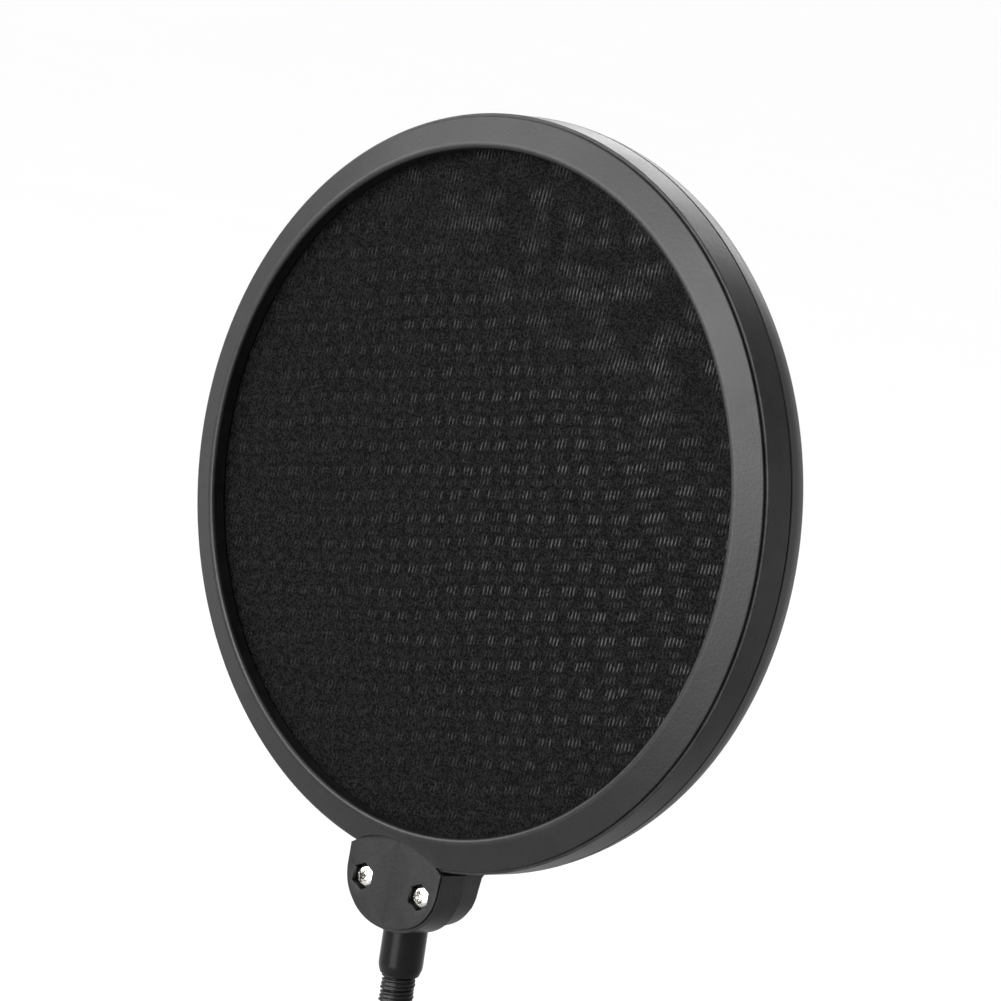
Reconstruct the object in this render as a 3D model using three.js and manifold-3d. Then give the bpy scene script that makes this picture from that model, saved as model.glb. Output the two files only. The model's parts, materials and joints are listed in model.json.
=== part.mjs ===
// Round two-layer pop filter on a bendable neck with a screw clamp.
// Millimetres, +Z up. The filter faces -Y. The origin is on the clamp's fixed rubber jaw face.
import * as THREE from 'three';
import { mergeVertices } from 'three/addons/utils/BufferGeometryUtils.js';
import Module from 'manifold-3d';

const wasm = await Module();
wasm.setup();

// ---------------------------------------------------------------- driving dimensions
const GAP = 0.3;                 // clearance between pieces that touch on the real object

// Filter head: radii from its centre, depths from its middle plane (+ is the front)
const LIP_INNER_RADIUS = 70.3;
const LIP_OUTER_RADIUS = 71.4;
const RIM_RADIUS = 77.0;         // outer edge of the conical front face
const WAIST_RADIUS = 76.0;       // where the rear ring's rounded side meets its rear cone
const BAND_RADIUS = 77.7;
const RIM_DEPTH = 7.1;
const LIP_DEPTH = 9.4;
const RIM_EDGE = 0.4;            // thickness of the front ring's outer edge
const BAND_SPLIT = -0.9;         // parting line between the middle and the rear ring
const MESH_DEPTH = 5.3;
const MESH_THICKNESS = 0.6;
const MESH_RADIUS = 73.4;
const SKIRT_RADIUS = 75.2;       // skirt of the front ring, which plugs into the middle ring
const SKIRT_END = 3.0;

// Boss under the head, in the head's own plane (x to the right, y up from the centre)
const BOSS_HALF_WIDTH = 12.8;
const BOSS_TOP_CENTRE = -94.8;   // centre of the arc that cuts the plate into the cone
const BOSS_TOP_RADIUS = 21.7;
const BOSS_SHOULDER = -81.0;     // where the straight sides begin to curve in
const BOSS_BOTTOM = -91.6;
const BOSS_SCREW_X = 8.0;
const BOSS_SCREW_Y = -83.3;
const POST_RADIUS = 3.6;
const POST_END = 2.2;
const POCKET_CORNER_RADIUS = 3.0;
const SCREW_SEAT = 4.5;          // depth of the underside of the screw heads
const SCREW_HEAD_RADIUS = 2.5;
const SCREW_HEAD_HEIGHT = 2.0;
const BOLT_RADIUS = 1.25;         // M2.5
const NUT_CORNER_RADIUS = 2.89;
const NUT_HEIGHT = 2.0;

// Neck: a gentle arc from vertical at the clamp to NECK_LEAN at the head
const NECK_RADIUS = 3.65;
const NECK_BORE = 1.7;
const NECK_LENGTH = 320;
const NECK_SECTIONS = 10;
const NECK_LEAN = THREE.MathUtils.degToRad(4.5);
const SECTION_RELIEF = Math.tan(THREE.MathUtils.degToRad(16));
const FERRULE_RADIUS = 4.65;
const FERRULE_STUB_RADIUS = 3.4;
const FERRULE_LENGTH = 11;
const FERRULE_CHAMFER = 1.7;
const FERRULE_MOUTH_RADIUS = 4.1;
const FERRULE_OVERLAP = 2.3;     // length of the neck that each ferrule covers
const FERRULE_TO_HEAD = 13.8;    // from the neck's end to where its axis meets the head's middle plane
const FERRULE_ANCHOR = -86;      // height of that point, from the head's centre

// Clamp
const CLAMP_WIDTH = 18;
const PAD_THICKNESS = 2.7;
const ARM_TIP = -12;
const ARM_UNDERSIDE = PAD_THICKNESS + GAP;
const ARM_THICKNESS = 11;
const THROAT = 26;               // from the screw's axis to the spine
const SPINE_THICKNESS = 12;
const LOWER_ARM_TOP = -62;
const LOWER_ARM_BOTTOM = -74;
const TOWER_RADIUS = 8;
const NECK_BASE = 30;            // height at which the neck leaves the lower ferrule
const INSERT_RADIUS = 7;
const JAW_GAP = 30;              // between the rubber faces as the part is stored
const SCREW_RADIUS = 4;
const KNOB_TOP = -102;
const KNOB_BOTTOM = -124;
const KNOB_RADIUS = 16.5;
const KNOB_LOBES = 7;

// ---------------------------------------------------------------- materials
const plastic = (color, roughness = 0.5) => new THREE.MeshStandardMaterial({ color, roughness });
const metal = (color, roughness) =>
  new THREE.MeshStandardMaterial({ color, roughness, metalness: 1 });
const BLACK_ABS = plastic(0x262627, 0.45);
const BLACK_NYLON = plastic(0x161617, 0.9);
const BLACK_RUBBER = plastic(0x1b1b1c, 0.85);
const BLACK_STEEL = metal(0x1c1c1e, 0.35);
const BRIGHT_STEEL = metal(0xd8d8da, 0.2);
const BRASS = metal(0xb08d4a, 0.35);

// ---------------------------------------------------------------- shaping helpers
// A closed solid of the geometry, ready to be joined and cut.
function solid(geometry) {
  const bare = geometry.clone();
  bare.deleteAttribute('normal');
  bare.deleteAttribute('uv');
  const merged = mergeVertices(bare, 1e-4);
  return new wasm.Manifold(new wasm.Mesh({
    numProp: 3,
    vertProperties: merged.attributes.position.array,
    triVerts: new Uint32Array(merged.index.array),
  }));
}

// The geometry of a solid that has been joined or cut.
function geometryOf(body) {
  const { vertProperties, triVerts } = body.getMesh();
  const geometry = new THREE.BufferGeometry();
  geometry.setAttribute('position', new THREE.BufferAttribute(vertProperties, 3));
  geometry.setIndex(new THREE.BufferAttribute(triVerts, 1));
  const flat = geometry.toNonIndexed();
  flat.computeVertexNormals();
  return flat;
}

function named(name, shape, material) {
  const mesh = new THREE.Mesh(shape.isBufferGeometry ? shape : geometryOf(shape), material);
  mesh.name = name;
  return mesh;
}

// A solid of revolution about z. The profile is [radius, height] points, anticlockwise.
function turned(profile, sides) {
  const points = profile.map(([radius, height]) => new THREE.Vector2(radius, height));
  if (profile[0][0] > 0 || profile.at(-1)[0] > 0) points.push(points[0].clone());
  return new THREE.LatheGeometry(points, sides).rotateX(Math.PI / 2);
}

// A prism of the shape between two heights.
function prism(shape, low, high, curveSegments = 8) {
  const options = { depth: high - low, bevelEnabled: false, curveSegments };
  return new THREE.ExtrudeGeometry(shape, options).translate(0, 0, low);
}

function rod(radius, low, high, sides = 24, x = 0, y = 0) {
  const geometry = new THREE.CylinderGeometry(radius, radius, high - low, sides);
  return geometry.rotateX(Math.PI / 2).translate(x, y, (low + high) / 2);
}

// ---------------------------------------------------------------- filter head
// Local frame: x to the right, y up, z towards the front, origin at the head's centre.
const RING_SIDES = 72;
const MESH_FRONT = MESH_DEPTH + MESH_THICKNESS / 2;
const MESH_BACK = MESH_DEPTH - MESH_THICKNESS / 2;

function bossShape(halfWidth, bottom) {
  const shoulder = halfWidth - 0.1;
  const topAngle = Math.acos(halfWidth / BOSS_TOP_RADIUS);
  const shape = new THREE.Shape();
  shape.absarc(0, BOSS_TOP_CENTRE, BOSS_TOP_RADIUS, topAngle, Math.PI - topAngle);
  shape.lineTo(-shoulder, BOSS_SHOULDER);
  shape.bezierCurveTo(-shoulder, bottom + 4, -0.6 * halfWidth, bottom, 0, bottom);
  shape.bezierCurveTo(0.6 * halfWidth, bottom, shoulder, bottom + 4, shoulder, BOSS_SHOULDER);
  return shape;
}

// The parts of the boss that lie outside a ring of the given radius.
function bossBlock(halfWidth, bottom, low, high, clearRadius) {
  const block = solid(prism(bossShape(halfWidth, bottom), low, high));
  return block.subtract(solid(rod(clearRadius, low - 1, high + 1, RING_SIDES)));
}

function atBossScrews(makeTool) {
  return [-BOSS_SCREW_X, BOSS_SCREW_X].map((x) => solid(makeTool(x, BOSS_SCREW_Y)));
}

const cutAll = (body, tools) => tools.reduce((rest, tool) => rest.subtract(tool), body);
const joinAll = (body, parts) => parts.reduce((sum, part) => sum.add(part), body);
const screwHole = (x, y) => rod(BOLT_RADIUS + GAP, -12, 12, 16, x, y);
const hexagon = (radius, low, high) => (x, y) => rod(radius, low, high, 6, x, y);

function frontRing() {
  const skirtInner = MESH_RADIUS + GAP;
  const ring = solid(turned([
    [LIP_INNER_RADIUS, MESH_FRONT + GAP],
    [skirtInner, MESH_FRONT + GAP],
    [skirtInner, SKIRT_END],
    [SKIRT_RADIUS, SKIRT_END],
    [SKIRT_RADIUS, RIM_DEPTH - RIM_EDGE],
    [RIM_RADIUS, RIM_DEPTH - RIM_EDGE],
    [RIM_RADIUS, RIM_DEPTH],
    [LIP_OUTER_RADIUS, LIP_DEPTH],
    [LIP_INNER_RADIUS, LIP_DEPTH],
  ], RING_SIDES));
  const facet = solid(prism(bossShape(BOSS_HALF_WIDTH, BOSS_BOTTOM), RIM_DEPTH, LIP_DEPTH + 1));
  const plate = bossBlock(
    BOSS_HALF_WIDTH, BOSS_BOTTOM, RIM_DEPTH - RIM_EDGE, RIM_DEPTH, SKIRT_RADIUS - 0.5);
  const posts = atBossScrews((x, y) => rod(POST_RADIUS, POST_END, RIM_DEPTH, 24, x, y));
  const pockets = atBossScrews(hexagon(POCKET_CORNER_RADIUS, SCREW_SEAT - GAP, RIM_DEPTH + 1));
  const body = joinAll(ring.subtract(facet).add(plate), posts);
  return cutAll(body, [...pockets, ...atBossScrews(screwHole)]);
}

function middleRing(ferruleSocket) {
  const front = RIM_DEPTH - RIM_EDGE - GAP;
  const rear = BAND_SPLIT + GAP / 2;
  const ring = solid(turned([
    [LIP_INNER_RADIUS, GAP - MESH_BACK],
    [MESH_RADIUS, GAP - MESH_BACK],
    [MESH_RADIUS, rear],
    [BAND_RADIUS, rear],
    [BAND_RADIUS, front],
    [SKIRT_RADIUS + GAP, front],
    [SKIRT_RADIUS + GAP, SKIRT_END - GAP],
    [MESH_RADIUS, SKIRT_END - GAP],
    [MESH_RADIUS, MESH_BACK - GAP],
    [LIP_INNER_RADIUS, MESH_BACK - GAP],
  ], RING_SIDES));
  const boss = bossBlock(BOSS_HALF_WIDTH + 0.2, BOSS_BOTTOM - 0.9, rear, front, BAND_RADIUS - 1);
  const sockets = atBossScrews((x, y) => rod(POST_RADIUS + GAP, POST_END - GAP, 12, 24, x, y));
  return cutAll(ring.add(boss), [ferruleSocket, ...sockets, ...atBossScrews(screwHole)]);
}

function rearRing(ferruleSocket) {
  const front = BAND_SPLIT - GAP / 2;
  const clampFace = -(MESH_FRONT + GAP);
  const skirtInner = MESH_RADIUS + GAP;
  const ring = solid(turned([
    [LIP_INNER_RADIUS, -LIP_DEPTH],
    [LIP_OUTER_RADIUS, -LIP_DEPTH],
    [WAIST_RADIUS, -RIM_DEPTH],
    [BAND_RADIUS - 0.5, -0.55 * RIM_DEPTH],
    [BAND_RADIUS, front],
    [skirtInner, front],
    [skirtInner, clampFace],
    [LIP_INNER_RADIUS, clampFace],
  ], RING_SIDES));
  const boss = bossBlock(BOSS_HALF_WIDTH - 0.6, BOSS_BOTTOM + 1.0, -RIM_DEPTH, front, WAIST_RADIUS - 1);
  const nutSeat = -RIM_DEPTH + NUT_HEIGHT + 2 * GAP;
  const pockets = atBossScrews(hexagon(NUT_CORNER_RADIUS + GAP, -12, nutSeat));
  return cutAll(ring.add(boss), [ferruleSocket, ...pockets, ...atBossScrews(screwHole)]);
}

function meshDisc(depth) {
  const low = depth - MESH_THICKNESS / 2;
  const high = depth + MESH_THICKNESS / 2;
  return turned([[0, low], [MESH_RADIUS, low], [MESH_RADIUS, high], [0, high]], RING_SIDES);
}

// Pan-head machine screw with a cross recess, along z, its head towards the front.
function bossScrew() {
  const top = SCREW_SEAT + SCREW_HEAD_HEIGHT;
  const body = solid(turned([
    [0, -RIM_DEPTH],
    [BOLT_RADIUS, -RIM_DEPTH],
    [BOLT_RADIUS, SCREW_SEAT],
    [SCREW_HEAD_RADIUS, SCREW_SEAT],
    [SCREW_HEAD_RADIUS, top - 1.0],
    [0.75 * SCREW_HEAD_RADIUS, top - 0.25],
    [0, top],
  ], 20));
  const slot = solid(new THREE.BoxGeometry(3.0, 0.7, 2.2).translate(0, 0, top));
  const cross = solid(new THREE.BoxGeometry(0.7, 3.0, 2.2).translate(0, 0, top));
  return body.subtract(slot).subtract(cross);
}

function bossNut() {
  const low = -RIM_DEPTH + GAP / 2;
  const hex = solid(rod(NUT_CORNER_RADIUS, low, low + NUT_HEIGHT, 6));
  return hex.subtract(solid(screwHole(0, 0)));
}

// ---------------------------------------------------------------- neck and ferrules
// Local frame of every neck piece: z along the neck, towards the head.
const NECK_ARC_RADIUS = NECK_LENGTH / NECK_LEAN;

// Places an object on the neck's centre line, at a distance along it from the lower ferrule.
function onNeck(object, distance) {
  const angle = distance / NECK_ARC_RADIUS;
  const forward = NECK_ARC_RADIUS * (1 - Math.cos(angle));
  object.position.set(0, -forward, NECK_BASE + NECK_ARC_RADIUS * Math.sin(angle));
  object.rotation.x = angle;
  return object;
}

// One section of the interlocked neck tube; its ends are coned so that it can tilt on the next.
function neckSection(isFirst, isLast) {
  const half = NECK_LENGTH / NECK_SECTIONS / 2;
  const end = half - GAP / 2;
  const low = (radius) => (isFirst ? -half : -end + radius * SECTION_RELIEF);
  const high = (radius) => (isLast ? half : end - radius * SECTION_RELIEF);
  return turned([
    [NECK_BORE, low(NECK_BORE)],
    [NECK_RADIUS, low(NECK_RADIUS)],
    [NECK_RADIUS, high(NECK_RADIUS)],
    [NECK_BORE, high(NECK_BORE)],
  ], 16);
}

// Ferrule with a chamfered mouth that covers the neck's end, and a flanged stub that its holder
// grips. The neck ends at z = 0.
const FLANGE_LOW = 15;
const FLANGE_HIGH = 17;
const STUB_END = 20;
function upperFerrule() {
  return turned([
    [0, GAP],
    [NECK_RADIUS + GAP, GAP],
    [NECK_RADIUS + GAP, -FERRULE_OVERLAP],
    [FERRULE_MOUTH_RADIUS, -FERRULE_OVERLAP],
    [FERRULE_RADIUS, FERRULE_CHAMFER - FERRULE_OVERLAP],
    [FERRULE_RADIUS, FERRULE_LENGTH],
    [FERRULE_STUB_RADIUS, FERRULE_LENGTH],
    [FERRULE_STUB_RADIUS, FLANGE_LOW],
    [FERRULE_RADIUS, FLANGE_LOW],
    [FERRULE_RADIUS, FLANGE_HIGH],
    [FERRULE_STUB_RADIUS, FLANGE_HIGH],
    [FERRULE_STUB_RADIUS, STUB_END],
    [0, STUB_END],
  ], 24);
}

function upperFerruleSocket() {
  return turned([
    [0, -GAP],
    [FERRULE_RADIUS + GAP, -GAP],
    [FERRULE_RADIUS + GAP, FERRULE_LENGTH + GAP],
    [FERRULE_STUB_RADIUS + GAP, FERRULE_LENGTH + GAP],
    [FERRULE_STUB_RADIUS + GAP, FLANGE_LOW - GAP],
    [FERRULE_RADIUS + GAP, FLANGE_LOW - GAP],
    [FERRULE_RADIUS + GAP, FLANGE_HIGH + GAP],
    [FERRULE_STUB_RADIUS + GAP, FLANGE_HIGH + GAP],
    [FERRULE_STUB_RADIUS + GAP, STUB_END + GAP],
    [0, STUB_END + GAP],
  ], 24);
}

// ---------------------------------------------------------------- clamp
const TOWER_TOP = ARM_UNDERSIDE + ARM_THICKNESS + 6;
const STUB_BOTTOM = ARM_UNDERSIDE + 3;
const SET_SCREW_HEIGHT = ARM_UNDERSIDE + ARM_THICKNESS / 2;
const SET_SCREW_RADIUS = 2.0;

function lowerFerrule() {
  const mouth = NECK_BASE + FERRULE_OVERLAP;
  return turned([
    [0, STUB_BOTTOM + GAP],
    [FERRULE_STUB_RADIUS, STUB_BOTTOM + GAP],
    [FERRULE_STUB_RADIUS, TOWER_TOP + GAP],
    [FERRULE_RADIUS, TOWER_TOP + GAP],
    [FERRULE_RADIUS, mouth - FERRULE_CHAMFER],
    [FERRULE_MOUTH_RADIUS, mouth],
    [NECK_RADIUS + GAP, mouth],
    [NECK_RADIUS + GAP, NECK_BASE - GAP],
    [0, NECK_BASE - GAP],
  ], 24);
}

// The C outline: x across the throat, y up; arms with rounded tips and a rounded back.
function clampShape() {
  const tip = 3;
  const inner = 5;
  const outer = 12;
  const top = ARM_UNDERSIDE + ARM_THICKNESS;
  const back = THROAT + SPINE_THICKNESS;
  const quarter = Math.PI / 2;
  const shape = new THREE.Shape();
  shape.moveTo(ARM_TIP + tip, ARM_UNDERSIDE);
  shape.absarc(THROAT - inner, ARM_UNDERSIDE - inner, inner, quarter, 0, true);
  shape.absarc(THROAT - inner, LOWER_ARM_TOP + inner, inner, 0, -quarter, true);
  shape.absarc(ARM_TIP + tip, LOWER_ARM_TOP - tip, tip, quarter, 2 * quarter);
  shape.absarc(ARM_TIP + tip, LOWER_ARM_BOTTOM + tip, tip, 2 * quarter, 3 * quarter);
  shape.absarc(back - outer, LOWER_ARM_BOTTOM + outer, outer, -quarter, 0);
  shape.absarc(back - outer, top - outer, outer, 0, quarter);
  shape.absarc(ARM_TIP + tip, top - tip, tip, quarter, 2 * quarter);
  shape.absarc(ARM_TIP + tip, ARM_UNDERSIDE + tip, tip, 2 * quarter, 3 * quarter);
  return shape;
}

function clampFrame() {
  const half = CLAMP_WIDTH / 2;
  const outline = prism(clampShape(), -half, half, 5).rotateX(Math.PI / 2);
  const tower = solid(rod(TOWER_RADIUS, ARM_UNDERSIDE + 1, TOWER_TOP, 28));
  const stubBore = solid(rod(FERRULE_STUB_RADIUS + GAP, STUB_BOTTOM, TOWER_TOP + 1));
  const insertBore = solid(rod(INSERT_RADIUS + GAP, LOWER_ARM_BOTTOM - 1, LOWER_ARM_TOP + 1, 28));
  const setScrewBore = solid(
    rod(SET_SCREW_RADIUS + GAP, 0, half + 1, 16).rotateX(Math.PI / 2).translate(0, 0, SET_SCREW_HEIGHT));
  return cutAll(solid(outline).add(tower), [stubBore, insertBore, setScrewBore]);
}

function jawPad() {
  const halfLength = 10;
  const halfWidth = 8;
  const corner = 2;
  const shape = new THREE.Shape();
  shape.absarc(halfLength - corner, halfWidth - corner, corner, 0, Math.PI / 2);
  shape.absarc(corner - halfLength, halfWidth - corner, corner, Math.PI / 2, Math.PI);
  shape.absarc(corner - halfLength, corner - halfWidth, corner, Math.PI, 1.5 * Math.PI);
  shape.absarc(halfLength - corner, corner - halfWidth, corner, 1.5 * Math.PI, 2 * Math.PI);
  return prism(shape, 0, PAD_THICKNESS, 4);
}

function threadInsert() {
  const flange = LOWER_ARM_TOP + GAP;
  const bore = SCREW_RADIUS + GAP;
  return turned([
    [bore, LOWER_ARM_BOTTOM],
    [INSERT_RADIUS, LOWER_ARM_BOTTOM],
    [INSERT_RADIUS, flange],
    [INSERT_RADIUS + 1.6, flange],
    [INSERT_RADIUS + 1.6, flange + 1.5],
    [bore, flange + 1.5],
  ], 28);
}

// Grub screw with a hexagon socket; it runs in from the front and bears on the ferrule's stub.
function setScrew() {
  const inner = FERRULE_STUB_RADIUS + GAP;
  const outer = CLAMP_WIDTH / 2 - GAP;
  const body = solid(rod(SET_SCREW_RADIUS, inner, outer, 16));
  const socket = solid(rod(1.15, outer - 2, outer + 1, 6));
  return geometryOf(body.subtract(socket)).rotateX(Math.PI / 2).translate(0, 0, SET_SCREW_HEIGHT);
}

const PAD_FACE = -JAW_GAP;
const PRESSURE_RADIUS = 11;
const RUBBER_THICKNESS = 2.0;
const CUP_TOP = PAD_FACE - RUBBER_THICKNESS - GAP;
const CUP_BOTTOM = CUP_TOP - 6;
const CUP_FLOOR = CUP_TOP - 2;
const CUP_BORE = 4.3;

function pressurePad() {
  return turned([
    [0, CUP_FLOOR],
    [CUP_BORE, CUP_FLOOR],
    [CUP_BORE, CUP_BOTTOM],
    [CUP_BORE + 2.2, CUP_BOTTOM],
    [CUP_BORE + 3.2, CUP_TOP - 2.2],
    [PRESSURE_RADIUS, CUP_TOP - 1.6],
    [PRESSURE_RADIUS, CUP_TOP],
    [0, CUP_TOP],
  ], 28);
}

function pressurePadRubber() {
  return rod(PRESSURE_RADIUS, PAD_FACE - RUBBER_THICKNESS, PAD_FACE, 28);
}

const NECK_OF_SCREW = 2.4;
const SCREW_HEAD_TOP = CUP_FLOOR - GAP;

function retainingRing() {
  const low = CUP_BOTTOM + 0.2;
  const inner = NECK_OF_SCREW + GAP;
  const outer = CUP_BORE - GAP;
  return turned([[inner, low], [outer, low], [outer, low + 1], [inner, low + 1]], 24);
}

const HUB_RADIUS = 9;
const HUB_BOTTOM = KNOB_TOP - 6;
const PIN_HEIGHT = KNOB_TOP - 3;
const PIN_RADIUS = 1.25;
const SCREW_END = KNOB_BOTTOM + 6;
const CAP_RADIUS = 8;
const CAP_THICKNESS = 1.6;

// A hole or a pin across the knob's hub, along x.
function crossRod(radius, halfLength) {
  const across = rod(radius, -halfLength, halfLength, 14).rotateY(Math.PI / 2);
  return across.translate(0, 0, PIN_HEIGHT);
}

// The clamping screw: a button end held in the pressure pad, a neck, and the threaded rod.
function clampScrew() {
  const button = CUP_BORE - GAP;
  const shoulder = CUP_BOTTOM - 2;
  const body = solid(turned([
    [0, SCREW_END],
    [SCREW_RADIUS, SCREW_END],
    [SCREW_RADIUS, shoulder],
    [NECK_OF_SCREW, shoulder],
    [NECK_OF_SCREW, SCREW_HEAD_TOP - 2],
    [button, SCREW_HEAD_TOP - 2],
    [button, SCREW_HEAD_TOP],
    [0, SCREW_HEAD_TOP],
  ], 24));
  return body.subtract(solid(crossRod(PIN_RADIUS + GAP, SCREW_RADIUS + 1)));
}

function knob() {
  const outline = new THREE.Shape();
  const steps = KNOB_LOBES * 12;
  for (let i = 0; i < steps; i += 1) {
    const angle = (2 * Math.PI * i) / steps;
    const radius = KNOB_RADIUS + 1.3 * Math.cos(KNOB_LOBES * angle);
    const point = [radius * Math.cos(angle), radius * Math.sin(angle)];
    if (i === 0) outline.moveTo(...point);
    else outline.lineTo(...point);
  }
  const grip = solid(prism(outline, KNOB_BOTTOM, HUB_BOTTOM));
  const hub = solid(rod(HUB_RADIUS, HUB_BOTTOM - 1, KNOB_TOP, 28));
  const bore = solid(rod(SCREW_RADIUS + GAP, SCREW_END - GAP, KNOB_TOP + 1));
  const capSeat = solid(rod(CAP_RADIUS + GAP, KNOB_BOTTOM - 1, KNOB_BOTTOM + CAP_THICKNESS + GAP, 28));
  return cutAll(grip.add(hub), [bore, capSeat, solid(crossRod(PIN_RADIUS + GAP, HUB_RADIUS + 1))]);
}

// ---------------------------------------------------------------- assembly
const popFilter = new THREE.Group();

const ferruleHolder = onNeck(new THREE.Group(), NECK_LENGTH);
ferruleHolder.updateMatrixWorld();
const anchor = new THREE.Vector3(0, 0, FERRULE_TO_HEAD).applyMatrix4(ferruleHolder.matrixWorld);
const head = new THREE.Group();
head.position.set(0, anchor.y, anchor.z - FERRULE_ANCHOR);
head.rotation.x = Math.PI / 2;
head.updateMatrixWorld();

const fromFerrule = head.matrixWorld.clone().invert().multiply(ferruleHolder.matrixWorld);
const socket = solid(upperFerruleSocket().applyMatrix4(fromFerrule));

head.add(
  named('front_ring', frontRing(), BLACK_ABS),
  named('middle_ring', middleRing(socket), BLACK_ABS),
  named('rear_ring', rearRing(socket), BLACK_ABS),
  named('front_mesh', meshDisc(MESH_DEPTH), BLACK_NYLON),
  named('rear_mesh', meshDisc(-MESH_DEPTH), BLACK_NYLON),
);
for (const [side, x] of [['left', -BOSS_SCREW_X], ['right', BOSS_SCREW_X]]) {
  const screw = named(`boss_screw_${side}`, bossScrew(), BRIGHT_STEEL);
  const nut = named(`boss_nut_${side}`, bossNut(), BRIGHT_STEEL);
  screw.position.set(x, BOSS_SCREW_Y, 0);
  nut.position.set(x, BOSS_SCREW_Y, 0);
  head.add(screw, nut);
}
ferruleHolder.add(named('upper_ferrule', upperFerrule(), BLACK_STEEL));
popFilter.add(head, ferruleHolder);

for (let i = 1; i <= NECK_SECTIONS; i += 1) {
  const shape = neckSection(i === 1, i === NECK_SECTIONS);
  const section = named(`neck_section_${i}`, shape, BLACK_STEEL);
  popFilter.add(onNeck(section, ((i - 0.5) * NECK_LENGTH) / NECK_SECTIONS));
}

const clamp = new THREE.Group();
clamp.add(
  named('lower_ferrule', lowerFerrule(), BLACK_STEEL),
  named('ferrule_set_screw', setScrew(), BLACK_STEEL),
  named('clamp_frame', clampFrame(), BLACK_ABS),
  named('jaw_pad', jawPad(), BLACK_RUBBER),
  named('thread_insert', threadInsert(), BRASS),
  named('pressure_pad', pressurePad(), BLACK_ABS),
  named('pressure_pad_rubber', pressurePadRubber(), BLACK_RUBBER),
  named('pad_retaining_ring', retainingRing(), BRIGHT_STEEL),
  named('clamp_screw', clampScrew(), BRIGHT_STEEL),
  named('clamp_knob', knob(), BLACK_ABS),
  named('knob_cap', rod(CAP_RADIUS, KNOB_BOTTOM, KNOB_BOTTOM + CAP_THICKNESS, 28), BLACK_ABS),
  named('knob_pin', crossRod(PIN_RADIUS, HUB_RADIUS - 0.4), BRIGHT_STEEL),
);
popFilter.add(clamp);

export default popFilter;
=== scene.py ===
"""Builds a round two-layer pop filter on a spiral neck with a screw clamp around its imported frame."""

import json

import bmesh
import bpy
import numpy as np
from bpy.props import FloatProperty, FloatVectorProperty, IntProperty, PointerProperty
from bpy.types import Operator, Panel, PropertyGroup
from mathutils import Matrix, Vector


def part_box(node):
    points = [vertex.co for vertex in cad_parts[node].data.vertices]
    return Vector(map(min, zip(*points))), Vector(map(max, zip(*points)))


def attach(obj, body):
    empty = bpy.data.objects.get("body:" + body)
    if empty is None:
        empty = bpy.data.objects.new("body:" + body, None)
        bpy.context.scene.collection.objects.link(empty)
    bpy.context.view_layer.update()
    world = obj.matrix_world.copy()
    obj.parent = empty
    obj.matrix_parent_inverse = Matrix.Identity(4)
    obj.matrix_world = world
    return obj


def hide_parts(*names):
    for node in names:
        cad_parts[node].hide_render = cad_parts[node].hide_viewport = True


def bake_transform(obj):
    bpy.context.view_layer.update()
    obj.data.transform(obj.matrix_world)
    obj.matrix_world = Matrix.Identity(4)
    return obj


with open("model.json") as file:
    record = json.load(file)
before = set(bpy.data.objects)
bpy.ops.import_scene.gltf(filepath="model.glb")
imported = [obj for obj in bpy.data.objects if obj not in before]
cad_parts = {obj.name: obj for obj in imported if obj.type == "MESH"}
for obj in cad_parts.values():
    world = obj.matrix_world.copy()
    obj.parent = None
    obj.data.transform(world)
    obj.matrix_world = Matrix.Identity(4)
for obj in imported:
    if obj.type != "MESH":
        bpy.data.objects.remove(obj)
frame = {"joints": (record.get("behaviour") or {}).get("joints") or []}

bl_info = {
    "name": "Pop Filter",
    "version": (1, 0, 0),
    "blender": (4, 5, 0),
    "location": "3D View > Sidebar > Pop Filter",
    "description": "Builds a round pop filter with two stretched meshes, a spiral neck and a screw clamp",
    "category": "Add Mesh",
}

MM = 0.001
TURN = 2 * np.pi
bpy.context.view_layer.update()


# ------------------------------------------------------------------ places, read from the frame
def middle(node):
    """The centre of a CAD node's box, in metres."""
    low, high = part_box(node)
    return (np.array(low) + np.array(high)) / 2


def bottom(node):
    """The lowest height of a CAD node, in mm."""
    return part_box(node)[0].z / MM


def top(node):
    """The greatest height of a CAD node, in mm."""
    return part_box(node)[1].z / MM


HEAD = (middle("front_mesh") + middle("rear_mesh")) / 2
MESH_DEPTH = abs(middle("rear_mesh")[1] - middle("front_mesh")[1]) / 2 / MM
MESH_RADIUS = (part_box("front_mesh")[1].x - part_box("front_mesh")[0].x) / 2 / MM
SCREW_X = middle("boss_screw_right")[0] / MM
SCREW_UP = (middle("boss_screw_right")[2] - HEAD[2]) / MM
NECK_JOINTS = [joint for joint in frame["joints"] if joint["name"].startswith("neck_")]
NECK_BASE = round(bottom("neck_section_1"), 1)
LAST_JOINT = np.array(NECK_JOINTS[-1]["pos_m"]) / MM
NECK_RISE = LAST_JOINT[2] - NECK_BASE
NECK_ARC = (LAST_JOINT[1] ** 2 + NECK_RISE**2) / (2 * abs(LAST_JOINT[1]))
SECTION = NECK_ARC * np.arcsin(NECK_RISE / NECK_ARC) / len(NECK_JOINTS)
NECK_LENGTH = SECTION * (len(NECK_JOINTS) + 1)
BAND_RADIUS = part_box("middle_ring")[1].x / MM
RIM_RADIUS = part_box("front_ring")[1].x / MM

# Depths are in mm in front of the head's middle plane; radii and half widths are in mm.
PLATE_FRONT, PLATE_BACK = 7.1, 6.7
BLOCK_FRONT, BLOCK_BACK = 6.4, -0.75
COVER_FRONT, COVER_BACK = -1.05, -7.1
HOLE_RADIUS = 1.55
PLATE_POCKET, NUT_POCKET = 3.0, 3.19
SCREW_RADIUS, SCREW_SEAT, SCREW_TOP = 2.5, 4.5, 6.8
SHANK_PITCH = 0.45
NUT_CORNER, NUT_BACK, NUT_FRONT = 2.89, -6.95, -4.95
FERRULE_RADIUS, STUB_RADIUS, NECK_SOCKET = 4.65, 3.4, 3.95

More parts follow.
